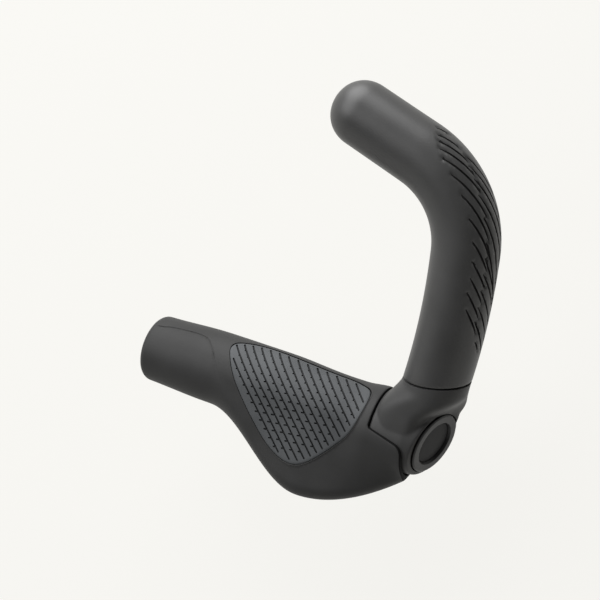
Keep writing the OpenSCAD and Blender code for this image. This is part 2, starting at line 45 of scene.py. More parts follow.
# Camera and the pale studio
print("camera and studio")
cameraView = {
    "place": (0.26867, -0.08175, 0.48825),
    "right": (0.88528, 0.37713, -0.27212),
    "up": (-0.27851, 0.89853, 0.33922),
    "back": (0.37244, -0.22452, 0.90049),
    "lens": 70.42,
    "shiftX": -0.0213,
    "shiftY": 0.0173,
}
camera = bpy.data.objects.new("photoCamera", bpy.data.cameras.new("photoCamera"))
bpy.context.scene.collection.objects.link(camera)
camera.data.lens = cameraView["lens"]
camera.data.shift_x = cameraView["shiftX"]
camera.data.shift_y = cameraView["shiftY"]
camera.data.clip_start = 0.01
camera.data.clip_end = 20
turn = Matrix((cameraView["right"], cameraView["up"], cameraView["back"])).transposed()
camera.matrix_world = Matrix.Translation(cameraView["place"]) @ turn.to_4x4()
bpy.context.scene.camera = camera
bpy.context.scene.view_settings.view_transform = "Standard"


def shade(red, green, blue):
    return tuple(((c / 255 + 0.055) / 1.055) ** 2.4 for c in (red, green, blue)) + (1,)


def nodeSet(material):
    material.use_nodes = True
    tree = material.node_tree
    tree.nodes.clear()
    return tree, tree.nodes.new, tree.links.new


studio = {
    "paper": (247, 246, 242),
    "floorZ": -0.075,
    "floorSize": 5.0,        # flat out to here, then it curves up into a low backdrop all round
    "sweep": 1.0,
    "backdropHigh": 0.9,
    "sweepSteps": 8,
    "sides": 72,
    "shadowShare": 0.06,     # how much of the floor's look comes from real light, so that it keeps a soft shadow
    "glow": 0.98,
    "bounce": (176, 175, 172),   # the floor as other surfaces see it, a little darker than the paper
    "worldStrength": 0.16,
}


def makeStudio():
    paper = shade(*studio["paper"])
    mesh = bpy.data.meshes.new("studioFloor")
    z, flat, bend, n = studio["floorZ"], studio["floorSize"], studio["sweep"], studio["sides"]
    rings = [(0.5, z), (2.0, z), (flat, z)]
    rings += [(flat + bend * math.sin(a), z + bend * (1 - math.cos(a))) for a in np.linspace(0, math.pi / 2, studio["sweepSteps"])[1:]]
    rings.append((flat + bend, z + bend + studio["backdropHigh"]))
    turns = [2 * math.pi * i / n for i in range(n)]
    verts = [(r * math.cos(a), r * math.sin(a), high) for r, high in rings for a in turns]
    faces = [(j * n + i, j * n + (i + 1) % n, (j + 1) * n + (i + 1) % n, (j + 1) * n + i) for j in range(len(rings) - 1) for i in range(n)]
    mesh.from_pydata(verts, [], faces + [tuple(range(n))])
    floor = bpy.data.objects.new("studioFloor", mesh)
    bpy.context.scene.collection.objects.link(floor)
    material = bpy.data.materials.new("palePaper")
    tree, add, link = nodeSet(material)
    out = add("ShaderNodeOutputMaterial")
    diffuse = add("ShaderNodeBsdfDiffuse")
    diffuse.inputs["Color"].default_value = paper
    bounce = add("ShaderNodeBsdfDiffuse")
    bounce.inputs["Color"].default_value = shade(*studio["bounce"])
    glow = add("ShaderNodeEmission")
    glow.inputs["Color"].default_value = paper
    glow.inputs["Strength"].default_value = studio["glow"]
    blend = add("ShaderNodeMixShader")
    blend.inputs[0].default_value = studio["shadowShare"]
    link(glow.outputs[0], blend.inputs[1])
    link(diffuse.outputs[0], blend.inputs[2])
    path = add("ShaderNodeLightPath")
    seen = add("ShaderNodeMath")
    seen.operation = "MAXIMUM"
    through = add("ShaderNodeMath")
    through.operation = "MAXIMUM"
    link(path.outputs["Is Camera Ray"], seen.inputs[0])
    link(path.outputs["Is Glossy Ray"], seen.inputs[1])
    link(seen.outputs[0], through.inputs[0])
    link(path.outputs["Is Transmission Ray"], through.inputs[1])
    final = add("ShaderNodeMixShader")
    link(through.outputs[0], final.inputs[0])
    link(bounce.outputs[0], final.inputs[1])
    link(blend.outputs[0], final.inputs[2])
    link(final.outputs[0], out.inputs[0])
    mesh.materials.append(material)
    world = bpy.data.worlds.new("paleRoom")
    bpy.context.scene.world = world
    tree, add, link = nodeSet(world)
    out = add("ShaderNodeOutputWorld")
    light = add("ShaderNodeBackground")
    light.inputs["Color"].default_value = paper
    light.inputs["Strength"].default_value = studio["worldStrength"]
    link(light.outputs[0], out.inputs[0])


def addLamp(name, place, aim, size, power):
    lamp = bpy.data.lights.new(name, "AREA")
    lamp.shape = "DISK"
    lamp.size = size
    lamp.energy = power
    holder = bpy.data.objects.new(name, lamp)
    bpy.context.scene.collection.objects.link(holder)
    way = np.array(place, float) - np.array(aim, float)
    back = way / np.linalg.norm(way)
    side = np.cross((0, 0, 1), back)
    side /= np.linalg.norm(side)
    up = np.cross(back, side)
    holder.matrix_world = Matrix.Translation(place) @ Matrix((side, up, back)).transposed().to_4x4()


lamps = [
    {"name": "softKey", "place": (-0.27, 0.72, 0.68), "size": 1.0, "power": 15.0},
    {"name": "softSide", "place": (-0.5, -0.06, 0.85), "size": 0.9, "power": 7.5},
]
makeStudio()
for lamp in lamps:
    addLamp(lamp["name"], lamp["place"], (0.09, 0.03, 0.02), lamp["size"], lamp["power"])

# Finishes
print("finishes")
finishes = {
    "gripRubberFinish": {"dark": (49, 49, 49), "light": (57, 57, 57), "rough": (0.5, 0.6), "grain": 2600, "bump": 0.10, "spec": 0.18},
    "padRubberFinish": {"dark": (72, 74, 76), "light": (85, 87, 89), "rough": (0.6, 0.72), "grain": 2200, "bump": 0.14, "spec": 0.2},
    # darker colour for the pad's grooves and nicks: painted shade, with some dust
    "padGrooveShadeFinish": {"dark": (38, 39, 40), "light": (48, 49, 50), "rough": (0.65, 0.75), "grain": 2200, "bump": 0.1, "spec": 0.2},
    "armRubberFinish": {"dark": (50, 50, 50), "light": (59, 59, 59), "rough": (0.4, 0.48), "grain": 2600, "bump": 0.09, "spec": 0.52},
    # darker colour for the arm's engraved lines: painted shade
    "armGrooveShadeFinish": {"dark": (20, 20, 20), "light": (28, 28, 28), "rough": (0.6, 0.7), "grain": 2600, "bump": 0.08, "spec": 0.2},
    "gapShadowFinish": {"dark": (12, 12, 12), "light": (18, 18, 18), "rough": (0.7, 0.8), "grain": 2600, "bump": 0.04, "spec": 0.1},
    "hubPlasticFinish": {"dark": (59, 59, 59), "light": (67, 67, 67), "rough": (0.44, 0.54), "grain": 3000, "bump": 0.05, "spec": 0.22},
    "capRingFinish": {"dark": (44, 44, 45), "light": (52, 52, 53), "rough": (0.36, 0.46), "grain": 3200, "bump": 0.04, "spec": 0.25},
    "capDiscFinish": {"dark": (22, 22, 23), "light": (28, 28, 29), "rough": (0.55, 0.65), "grain": 2600, "bump": 0.06, "spec": 0.2},
    "sleevePlasticFinish": {"dark": (44, 44, 46), "light": (52, 52, 54), "rough": (0.42, 0.55), "grain": 1800, "bump": 0.06, "spec": 0.5},
}


def mouldedFinish(name, look):
    material = bpy.data.materials.new(name)
    tree, add, link = nodeSet(material)
    out = add("ShaderNodeOutputMaterial")
    skin = add("ShaderNodeBsdfPrincipled")
    skin.inputs["Specular IOR Level"].default_value = look["spec"]
    link(skin.outputs[0], out.inputs[0])
    place = add("ShaderNodeTexCoord")
    clouds = add("ShaderNodeTexNoise")        # slow change of tone over the moulding
    clouds.inputs["Scale"].default_value = 55
    clouds.inputs["Detail"].default_value = 4
    speckle = add("ShaderNodeTexNoise")       # fine moulded grain
    speckle.inputs["Scale"].default_value = look["grain"]
    speckle.inputs["Detail"].default_value = 2
    pores = add("ShaderNodeTexVoronoi")       # rounder cells between the grain
    pores.inputs["Scale"].default_value = look["grain"] * 0.6
    for texture in (clouds, speckle, pores):
        link(place.outputs["Object"], texture.inputs["Vector"])
    both = add("ShaderNodeMath")
    both.operation = "MULTIPLY_ADD"
    both.inputs[1].default_value = 0.35
    link(speckle.outputs["Fac"], both.inputs[0])
    link(clouds.outputs["Fac"], both.inputs[2])
    tone = add("ShaderNodeValToRGB")
    tone.color_ramp.elements[0].position = 0.42
    tone.color_ramp.elements[0].color = shade(*look["dark"])
    tone.color_ramp.elements[1].position = 0.88
    tone.color_ramp.elements[1].color = shade(*look["light"])
    link(both.outputs[0], tone.inputs[0])
    link(tone.outputs[0], skin.inputs["Base Color"])
    gloss = add("ShaderNodeMapRange")
    gloss.inputs["To Min"].default_value = look["rough"][0]
    gloss.inputs["To Max"].default_value = look["rough"][1]
    link(clouds.outputs["Fac"], gloss.inputs["Value"])
    link(gloss.outputs[0], skin.inputs["Roughness"])
    height = add("ShaderNodeMath")
    height.operation = "MULTIPLY_ADD"
    height.inputs[1].default_value = 0.6
    link(pores.outputs["Distance"], height.inputs[0])
    link(speckle.outputs["Fac"], height.inputs[2])
    bump = add("ShaderNodeBump")
    bump.inputs["Strength"].default_value = look["bump"]
    bump.inputs["Distance"].default_value = 0.0002
    link(height.outputs[0], bump.inputs["Height"])
    link(bump.outputs[0], skin.inputs["Normal"])
    return material


metals = {
    "brushedAluminiumFinish": {"colour": (196, 199, 203), "rough": (0.28, 0.46), "stretch": (120, 2400, 2400), "bump": 0.08},
    "zincSteelFinish": {"colour": (172, 176, 180), "rough": (0.22, 0.38), "stretch": (900, 900, 900), "bump": 0.05},
    "blackSteelFinish": {"colour": (92, 94, 97), "rough": (0.26, 0.4), "stretch": (900, 900, 900), "bump": 0.05},
}


def metalFinish(name, look):
    material = bpy.data.materials.new(name)
    tree, add, link = nodeSet(material)
    out = add("ShaderNodeOutputMaterial")
    skin = add("ShaderNodeBsdfPrincipled")
    skin.inputs["Metallic"].default_value = 1
    link(skin.outputs[0], out.inputs[0])
    place = add("ShaderNodeTexCoord")
    lay = add("ShaderNodeMapping")
    lay.inputs["Scale"].default_value = look["stretch"]
    link(place.outputs["Object"], lay.inputs["Vector"])
    streaks = add("ShaderNodeTexNoise")
    streaks.inputs["Scale"].default_value = 1
    streaks.inputs["Detail"].default_value = 3
    link(lay.outputs[0], streaks.inputs["Vector"])
    tone = add("ShaderNodeValToRGB")
    tone.color_ramp.elements[0].color = shade(*[c * 0.9 for c in look["colour"]])
    tone.color_ramp.elements[1].color = shade(*look["colour"])
    link(streaks.outputs["Fac"], tone.inputs[0])
    link(tone.outputs[0], skin.inputs["Base Color"])
    gloss = add("ShaderNodeMapRange")
    gloss.inputs["To Min"].default_value = look["rough"][0]
    gloss.inputs["To Max"].default_value = look["rough"][1]
    link(streaks.outputs["Fac"], gloss.inputs["Value"])
    link(gloss.outputs[0], skin.inputs["Roughness"])
    bump = add("ShaderNodeBump")
    bump.inputs["Strength"].default_value = look["bump"]
    bump.inputs["Distance"].default_value = 0.0001
    link(streaks.outputs["Fac"], bump.inputs["Height"])
    link(bump.outputs[0], skin.inputs["Normal"])
    return material


finish = {name: mouldedFinish(name, look) for name, look in finishes.items()}
finish.update({name: metalFinish(name, look) for name, look in metals.items()})


# Mesh helpers
def ease(x, a, b):
    t = np.clip((np.asarray(x, float) - a) / (b - a), 0, 1)
    return t * t * (3 - 2 * t)


def mix(a, b, t):
    return a + (b - a) * t


def newPiece(name, verts, faces, material, body, replaced, sharpAngle=40, darkMaterial=None, darkFaces=()):
    mesh = bpy.data.meshes.new(name)
    mesh.from_pydata((np.asarray(verts, float) * metre).tolist(), [], [list(map(int, f)) for f in faces])
    if darkMaterial:
        marks = np.zeros(len(faces), int)
        marks[:len(darkFaces)] = darkFaces
        mesh.polygons.foreach_set("material_index", marks)
    work = bmesh.new()
    work.from_mesh(mesh)
    bmesh.ops.remove_doubles(work, verts=work.verts, dist=2e-7)
    bmesh.ops.dissolve_degenerate(work, edges=work.edges, dist=1e-7)
    bmesh.ops.recalc_face_normals(work, faces=work.faces)
    bmesh.ops.delete(work, geom=[v for v in work.verts if not v.link_faces], context="VERTS")
    openEdges = sum(1 for e in work.edges if len(e.link_faces) != 2)
    work.to_mesh(mesh)
    work.free()
    piece = bpy.data.objects.new(name, mesh)
    bpy.context.scene.collection.objects.link(piece)
    mesh.materials.append(material)
    if darkMaterial:
        mesh.materials.append(darkMaterial)
    dressPiece(piece, sharpAngle)
    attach(piece, body)
    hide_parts(replaced)
    print(f"  {name}: {len(mesh.polygons)} faces, {openEdges} open edges")
    return piece


def dressPiece(piece, sharpAngle):
    mesh = piece.data
    mesh.polygons.foreach_set("use_smooth", [True] * len(mesh.polygons))
    mesh.set_sharp_from_angle(angle=math.radians(sharpAngle))
    mesh.update()


def insideLoop(points, loop):
    points = np.asarray(points, float)
    inside = np.zeros(len(points), bool)
    for a, b in zip(loop, np.roll(loop, -1, axis=0)):
        if a[1] == b[1]:
            continue
        crosses = (a[1] > points[:, 1]) != (b[1] > points[:, 1])
        at = a[0] + (points[:, 1] - a[1]) * (b[0] - a[0]) / (b[1] - a[1])
        inside ^= crosses & (points[:, 0] < at)
    return inside


def meshFlat(grid, lines, clear, fixed=None):
    # Triangles through a grid of points and through every line; gives the points, their source index and the triangles
    tree = kdtree.KDTree(sum(len(line[0]) for line in lines))
    i = 0
    for line, closed in lines:
        for p in line:
            tree.insert((p[0], p[1], 0), i)
            i += 1
    tree.balance()
    kept = [p for k, p in enumerate(grid)
            if (fixed is not None and fixed[k] and tree.find((p[0], p[1], 0))[2] > 0.02)
            or tree.find((p[0], p[1], 0))[2] > clear]
    points, edges = [], []
    for line, closed in lines:
        first = len(points)
        points.extend((float(p[0]), float(p[1])) for p in line)
        edges.extend((first + j, first + j + 1) for j in range(len(line) - 1))
        if closed:
            edges.append((len(points) - 1, first))
    points.extend((float(p[0]), float(p[1])) for p in kept)
    made = delaunay_2d_cdt(points, edges, [], 0, 1e-6)
    source = [o[0] if len(o) else -1 for o in made[3]]
    return np.array([tuple(v) for v in made[0]]), np.array(source), np.array([tuple(f) for f in made[2]])


def lathe(profile, sides):
    # Closed solid of revolution about +Z; the profile runs from the axis to the axis
    rings = []
    for r, z in profile:
        a = np.arange(sides) * 2 * math.pi / sides
        rings.append(np.stack([r * np.cos(a), r * np.sin(a), np.full(sides, z)], -1))
    return loftRings(rings)


def loftRings(rings):
    n = len(rings[0])
    verts = np.vstack(rings)
    faces = [[j * n + i, j * n + (i + 1) % n, (j + 1) * n + (i + 1) % n, (j + 1) * n + i]
             for j in range(len(rings) - 1) for i in range(n)]
    faces.append(list(range(n))[::-1])
    faces.append([(len(rings) - 1) * n + i for i in range(n)])
    return verts, faces


def roundedCorner(profile, radii, steps=5):
    # Profile with each inner corner rounded by its own radius
    out = []
    for k, (p, r) in enumerate(zip(profile, radii)):
        p = np.array(p, float)
        if r <= 0:
            out.append(tuple(p))
            continue
        a, b = np.array(profile[k - 1], float), np.array(profile[k + 1], float)
        u, v = (a - p) / np.linalg.norm(a - p), (b - p) / np.linalg.norm(b - p)
        half = math.acos(max(-1, min(1, float(u @ v)))) / 2
        reach = r / math.tan(half)
        start, end = p + u * reach, p + v * reach
        for j in range(steps + 1):
            t = j / steps
            out.append(tuple((1 - t) ** 2 * start + 2 * t * (1 - t) * p + t * t * end))
    return out


# Rubber grip: the same sections as the CAD wing, on a fine grid, with rounded lips
print("rubber grip")
grip = {
    "length": 117.5, "radius": 15.75, "fullness": 0.8, "endRound": 3.0, "sleeve": 12.6,
    "reach": 41.7, "edge": 7.0, "droop": 10.0, "start": 37.0, "peak": 90.0, "tail": 51.0, "tailShare": 0.664,
    "swell": 0.35, "leanForward": 0.9, "skirtBack": 0.8,
    "skirtRadius": 18.1, "skirtEnd": 135.0, "pocket": 17.3, "skirtSide": -5.6,
    "unroll": 18.0, "lip": 0.9,
    "panelLine": [(1.5, 5.18), (6.2, 5.22), (11.2, 5.3), (18.8, 5.33), (24.6, 5.33), (28.6, 5.29), (31.2, 5.22), (33.2, 5.1),
                  (36.2, 4.91), (39.3, 4.67), (41.6, 4.47), (43.2, 4.33)],   # x and angle of the faint panel edge
    "panelDeep": 0.32, "panelWide": 0.5,
}


def endInset(x):
    r = grip["endRound"]
    return np.where(x < r, r - np.sqrt(np.maximum(0, r * r - (r - np.minimum(x, r)) ** 2)), 0)


def tubeRadius(x):
    r, long, swell = grip["radius"], grip["length"], grip["swell"]
    return (r + grip["fullness"] * ease(x, 0, 0.27 * long) * (1 - ease(x, 0.53 * long, 0.885 * long))
            + swell * ease(x, 0.68 * long, 0.936 * long)
            + (grip["skirtRadius"] - r - swell) * ease(x, long - 12, long) - endInset(x))


def tubeShift(x):
    long = grip["length"]
    return (grip["leanForward"] * ease(x, 0, 0.34 * long) * (1 - ease(x, 0.6 * long, 0.85 * long))
            - grip["skirtBack"] * ease(x, long - 12, long))


def wingReach(x):
    rise = mix(tubeRadius(x), grip["reach"], ease(x, grip["start"], grip["peak"]))
    fall = grip["reach"] * (1 - grip["tailShare"] * (np.maximum(0, x - grip["peak"]) / grip["tail"]) ** 1.9)
    return np.where(x < grip["peak"], rise, fall)


def wingEdge(x):
    return np.minimum(mix(tubeRadius(x), grip["edge"], ease(x, grip["start"], grip["peak"] - 10)), tubeRadius(x) - 0.01)


def edgeCentre(x):
    d = np.maximum(wingReach(x), tubeRadius(x)) - wingEdge(x)
    a = math.radians(grip["droop"])
    return -d * math.cos(a), -d * math.sin(a)


def sectionHeight(x, y, side):
    x, y, side = np.broadcast_arrays(np.asarray(x, float), np.asarray(y, float), np.asarray(side, float))
    cy, rt, re = tubeShift(x), tubeRadius(x), wingEdge(x)
    ey, ez = edgeCentre(x)
    vy, vz = ey - cy, ez
    d = np.hypot(vy, vz)
    wide = d > rt - re + 0.02
    bend = np.arccos(np.clip((rt - re) / np.maximum(d, 1e-9), -1, 1))
    a = np.arctan2(vz, vy) - side * bend
    py, pz = cy + rt * np.cos(a), rt * np.sin(a)
    qy, qz = ey + re * np.cos(a), ez + re * np.sin(a)
    front = side * np.sqrt(np.maximum(0, rt ** 2 - (y - cy) ** 2))
    back = ez + side * np.sqrt(np.maximum(0, re ** 2 - (y - ey) ** 2))
    span = np.where(np.abs(py - qy) > 1e-9, py - qy, 1)
    between = mix(pz, qz, (py - y) / span)
    return np.where(~wide | (y >= py), front, np.where(y <= qy, back, between))


def frontY(x):
    return tubeShift(x) + tubeRadius(x)


def rearY(x):
    return np.minimum(tubeShift(x) - tubeRadius(x), edgeCentre(x)[0] - wingEdge(x))


def gripPoint(x, angle):
    x, angle = np.broadcast_arrays(np.asarray(x, float), np.asarray(angle, float))
    yf, yr = frontY(x), rearY(x)
    y = (yf + yr) / 2 + (yf - yr) / 2 * np.cos(angle)
    return np.stack([x, y, sectionHeight(x, y, np.where(angle < math.pi, -1, 1))], -1)


def angleAt(x, y, upper):
    yf, yr = frontY(x), rearY(x)
    a = np.arccos(np.clip((y - (yf + yr) / 2) / ((yf - yr) / 2), -1, 1))
    return 2 * math.pi - a if upper else a


def alongOf(x):    # length along the skin, round the inboard edge
    r = grip["endRound"]
    return np.where(x < r, r * np.arccos(np.clip(1 - np.minimum(x, r) / r, -1, 1)), x - r + r * math.pi / 2)


def xOf(s):
    r = grip["endRound"]
    return np.where(s < r * math.pi / 2, r * (1 - np.cos(np.minimum(s / r, math.pi / 2))), s + r - r * math.pi / 2)


def cornerPoints(a, b, c, r, steps):
    a, b, c = (np.array(p, float) for p in (a, b, c))
    u, v = (a - b) / np.linalg.norm(a - b), (c - b) / np.linalg.norm(c - b)
    half = math.acos(float(u @ v)) / 2
    m = b + (u + v) / np.linalg.norm(u + v) * r / math.sin(half)
    t0, t1 = b + u * r / math.tan(half), b + v * r / math.tan(half)
    a0, a1 = math.atan2(*(t0 - m)[::-1]), math.atan2(*(t1 - m)[::-1])
    swing = (a1 - a0 + math.pi) % (2 * math.pi) - math.pi
    return [m + r * np.array([math.cos(a0 + swing * i / steps), math.sin(a0 + swing * i / steps)]) for i in range(steps + 1)]


def meet(p, u, q, v):
    t = np.linalg.solve(np.array([u, -v]).T, q - p)
    return p + u * t[0]


def skirtSeam(d):
    # (x, angle) along the edge of the rubber beside the hub, from the front round to the rear, moved into the rubber by d
    a, b = np.array([grip["length"], 60.0]), np.array([grip["length"], grip["skirtSide"]])
    c = np.array([grip["skirtEnd"] - 0.7, grip["skirtSide"] - 4.1])
    e = np.array([grip["skirtEnd"] + 3.8, -45.0])
    moved = []
    for p, q in ((a, b), (b, c), (c, e)):
        u = (q - p) / np.linalg.norm(q - p)
        moved.append((p + d * np.array([u[1], -u[0]]), u))
    corner1 = meet(moved[0][0], moved[0][1], moved[1][0], moved[1][1])
    corner2 = meet(moved[1][0], moved[1][1], moved[2][0], moved[2][1])
    first = cornerPoints(moved[0][0], corner1, corner2, 1.2 + d, 6)
    last = cornerPoints(corner1, corner2, moved[2][0] + 60 * moved[2][1], 5 - d, 12)
    line = [mix(first[-1], last[0], t) for t in np.linspace(0, 1, 22)[1:-1]]
    middle = first + line + last
    seam = [(first[0][0], t) for t in np.linspace(0, float(angleAt(first[0][0], first[0][1], False)), 40)[:-1]]
    seam += [(p[0], float(angleAt(p[0], p[1], False))) for p in middle]
    p0, u = last[-1], moved[2][1]
    for t in np.linspace(seam[-1][1], math.pi, 30)[1:]:
        x = p0[0]
        for _ in range(30):
            y = (frontY(x) + rearY(x)) / 2 + (frontY(x) - rearY(x)) / 2 * math.cos(t)
            x = p0[0] + (y - p0[1]) * u[0] / u[1]
        seam.append((float(x), float(t)))
    return seam


def smoothLoop(points, steps):
    p = np.array(points, float)
    n = len(p)
    out = []
    for i in range(n):
        a, b, c, d = p[i - 1], p[i], p[(i + 1) % n], p[(i + 2) % n]
        for k in range(steps):
            t = k / steps
            out.append(0.5 * (2 * b + (c - a) * t + (2 * a - 5 * b + 4 * c - d) * t ** 2 + (3 * b - a - 3 * c + d) * t ** 3))
    return np.array(out)


def grownLoop(loop, d):
    t = np.roll(loop, -1, axis=0) - np.roll(loop, 1, axis=0)
    u = t / np.linalg.norm(t, axis=1)[:, None]
    return loop + d * np.stack([-u[:, 1], u[:, 0]], -1)


pad = {
    "thick": 2.0, "proud": 0.2, "gap": 0.3, "rim": 9.8, "pitch": 3.2, "grooveWide": 0.78, "grooveDeep": 0.8,
    "grooveAngle": 43.7, "margin": 1.6,
    "outline": [(0, 0.51), (0.05, 0.72), (0.25, 0.84), (0.65, 0.81), (0.9, 0.75), (1, 0.44), (0.975, -0.27),
                (0.86, -0.61), (0.71, -0.88), (0.59, -0.97), (0.44, -1), (0.28, -0.92), (0.13, -0.53), (0.035, 0.19)],
    "beadHigh": 0.25,
    "nickStep": 4.1, "nickWide": 0.62, "nickWay": (-0.99, -0.12), "nickCrowd": (80.0, -14.0), "nickLong": (0.5, 1.9),
    "nickSpread": (30, 16),
}
padStart = grip["start"] + 6
padLength = grip["length"] - 4.5 - padStart


def padPoint(share):
    x = padStart + share[0] * padLength
    back = max(4.0, float(wingReach(x)) - pad["rim"])
    return x, share[1] * float(frontY(x)) if share[1] > 0 else share[1] * back


padLoop = smoothLoop([padPoint(s) for s in pad["outline"]], 12)
padMiddle = np.array(padPoint((0.62, -0.3)))


def padFacing():
    # 1 along the pad's front edge, 0 along its rear edges
    normal = grownLoop(padLoop, 1) - padLoop
    return ease(normal @ np.array([-0.1, 0.995]), -0.1, 0.5)


def openCurve(points, steps):
    p = np.vstack([2 * points[0] - points[1], points, 2 * points[-1] - points[-2]])
    out = []
    for i in range(1, len(p) - 2):
        a, b, c, d = p[i - 1:i + 3]
        for k in range(steps):
            t = k / steps
            out.append(0.5 * (2 * b + (c - a) * t + (2 * a - 5 * b + 4 * c - d) * t ** 2 + (3 * b - a - 3 * c + d) * t ** 3))
    return np.array(out + [points[-1]])


def makeGrip():
    scale = grip["unroll"]
    wide = 2 * math.pi * scale
    columns = 126
    across = np.linspace(0, wide, columns + 1)
    along = np.concatenate([[0], np.linspace(0.35, 142.4, 158)])
    grid = [(s, w) for s in along for w in across]
    fixed = [w in (across[0], across[-1]) or s == 0 for s in along for w in across]
    lines, heights = [], []
    # lip beside the hub, a quarter round pressed inwards
    lip = grip["lip"]
    skirtRoot = float(alongOf(np.array(grip["length"])))
    seamLoops = []
    for d in (lip, 0.5, 0.25, 0.08, 0):
        half = skirtSeam(d)
        whole = [(float(alongOf(np.array(x))), t * scale) for x, t in half]
        whole += [(s, wide - w) for s, w in whole[-2::-1]]
        seamLoops.append(np.array(whole))
        lines.append((whole, False))
        soft = mix(0.4, 1, ease(np.array(whole)[:, 0], skirtRoot, skirtRoot + 3))      # a softer lip away from the skirt
        heights.append(-(lip - math.sqrt(lip * lip - (lip - d) ** 2)) * soft)
    # recess for the pad: an open line along its front edge, closed up with a low bead elsewhere
    facing = padFacing()
    gap = mix(0.06, pad["gap"], facing)
    bead = np.clip((grownLoop(padLoop, 1) - padLoop) @ np.array([0.75, -0.66]) * 1.5, 0, 1)
    for d, high, beadShare in ((1.5, 0, 0), (1.1, 0, 0.6), (0.8, 0, 1), (0.55, -0.01, 0.8), (0.3, -0.08, 0.3),
                               (0.03, -0.25, 0), (-0.03, -pad["thick"], 0)):
        loop = grownLoop(padLoop, (gap + d * mix(0.45, 1, facing))[:, None])
        w = [float(angleAt(x, y, True)) * scale for x, y in loop]
        lines.append((list(zip(alongOf(loop[:, 0]), w)), True))
        heights.append(high * np.where(high > -1, mix(0.4, 1.6, facing), 1) + beadShare * pad["beadHigh"] * bead)
    floorLoop, lineLoop = np.array(lines[-1][0]), np.array(lines[-3][0])
    # faint panel edge towards the inboard end
    path = np.array([(float(alongOf(np.array(x))), a * scale) for x, a in grip["panelLine"]])
    path = openCurve(path, 6)
    way = np.gradient(path, axis=0)
    way /= np.linalg.norm(way, axis=1)[:, None]
    sideways = np.stack([-way[:, 1], way[:, 0]], -1)
    fade = np.minimum(1, np.minimum(np.arange(len(path)) / 3, (len(path) - 1 - np.arange(len(path))) / 16))
    for d, high in ((-grip["panelWide"] * 2.4, 0), (-grip["panelWide"] * 0.4, -grip["panelDeep"]), (grip["panelWide"] * 0.4, 0)):
        lines.append(((path + sideways * d).tolist(), False))
        heights.append(high * fade)
    flat, source, tris = meshFlat(grid, lines, 0.42, fixed)
    level = np.concatenate(heights)
    kept = insideLoop(flat[tris].mean(1), np.vstack([seamLoops[-1], [(0, wide), (0, 0)]]))
    tris = tris[kept]
    middles = flat[tris].mean(1)
    narrow, broad = (~insideLoop(middles, np.vstack([loop, [(0, wide), (0, 0)]])) for loop in (seamLoops[3], seamLoops[1]))
    # faces on the lip beside the hub and in the gap round the pad get painted shadow
    dark = narrow | (broad & (middles[:, 0] > skirtRoot + 0.4)) | (insideLoop(middles, lineLoop) & ~insideLoop(middles, floorLoop))
    lineCount = len(level)
    seamCount = sum(len(loop) for loop in seamLoops)
    press = np.where((source >= 0) & (source < lineCount), level[np.clip(source, 0, lineCount - 1)], 0)
    press = np.where((source < 0) | (source >= lineCount), np.where(insideLoop(flat, floorLoop), -pad["thick"], 0), press)
    x = xOf(flat[:, 0])
    place = gripPoint(x, flat[:, 1] / scale)
    isSeam = (source >= 0) & (source < seamCount)
    outward = place * [0, 1, 1]
    outward /= np.linalg.norm(outward, axis=1)[:, None]
    place = place + np.where(isSeam[:, None], outward, [0, 0, 1]) * press[:, None]
    verts = [place]
    faces = [list(t) for t in tris]
    total = len(place)
    # walls of the pocket over the hub, its floor, and the bore down to the inboard end
    lookup = {int(k): i for i, k in enumerate(source) if k >= 0}
    start = seamCount - len(seamLoops[-1])
    ring = [lookup[start + k] for k in range(len(seamLoops[-1]))]
    rim = place[ring]
    angle = np.arctan2(rim[:, 2], rim[:, 1])

    def circle(r, at):
        return np.stack([at, r * np.cos(angle), r * np.sin(angle)], -1)

    pocket = np.minimum(grip["pocket"], np.hypot(rim[:, 1], rim[:, 2]) - 0.02)
    n = len(ring)
    dark = np.append(dark, np.ones(2 * (n - 1), bool))       # the walls of the pocket are in the dark too
    rings = [circle(pocket, rim[:, 0]), circle(pocket, np.full(n, grip["length"])),
             circle(grip["sleeve"], np.full(n, grip["length"])), circle(grip["sleeve"], np.zeros(n))]
    before = ring
    for points in rings:
        now = list(range(total, total + n))
        verts.append(points)
        total += n
        faces += [[before[k], before[k + 1], now[k + 1], now[k]] for k in range(n - 1)]
        before = now
    # thin face at the inboard end, zipped between the bore and the outer skin by angle
    edge = sorted((i for i in range(len(flat)) if flat[i, 0] < 1e-9), key=lambda i: flat[i, 1])
    inner, outer = before, edge
    turnIn = np.unwrap(angle)
    turnOut = np.unwrap(np.arctan2(place[edge][:, 2], place[edge][:, 1]))
    if turnIn[-1] < turnIn[0]:
        turnIn, turnOut = -turnIn, -turnOut
    i = j = 0
    while i < len(inner) - 1 or j < len(outer) - 1:
        if j >= len(outer) - 1 or (i < len(inner) - 1 and turnIn[i + 1] <= turnOut[j + 1]):
            faces.append([inner[i], inner[i + 1], outer[j]])
            i += 1
        else:
            faces.append([inner[i], outer[j + 1], outer[j]])
            j += 1
    newPiece("gripSkin", np.vstack(verts), faces, finish["gripRubberFinish"], "grip", "grip_rubber", 50,
             finish["gapShadowFinish"], dark.astype(int))


makeGrip()


# Grooved pad
print("palm pad")


def capsule(a, b, r, step=1.5, round=5):
    a, b = np.array(a, float), np.array(b, float)
    length = np.linalg.norm(b - a)
    u = (b - a) / max(length, 1e-9)
    v = np.array([-u[1], u[0]])
    count = max(1, int(length / step))
    pts = [a + u * length * k / count + v * r for k in range(count + 1)]
    pts += [b + r * (v * math.cos(t) + u * math.sin(t)) for t in np.linspace(0, math.pi, round + 2)[1:-1]]
    pts += [b - u * length * k / count - v * r for k in range(count + 1)]
    pts += [a + r * (-v * math.cos(t) - u * math.sin(t)) for t in np.linspace(0, math.pi, round + 2)[1:-1]]
    return pts


def distanceTo(points, a, b):
    a, b = np.array(a, float), np.array(b, float)
    ab = b - a
    t = np.clip(((points - a) @ ab) / (ab @ ab), 0, 1)
    return np.linalg.norm(points - (a + t[:, None] * ab), axis=1)


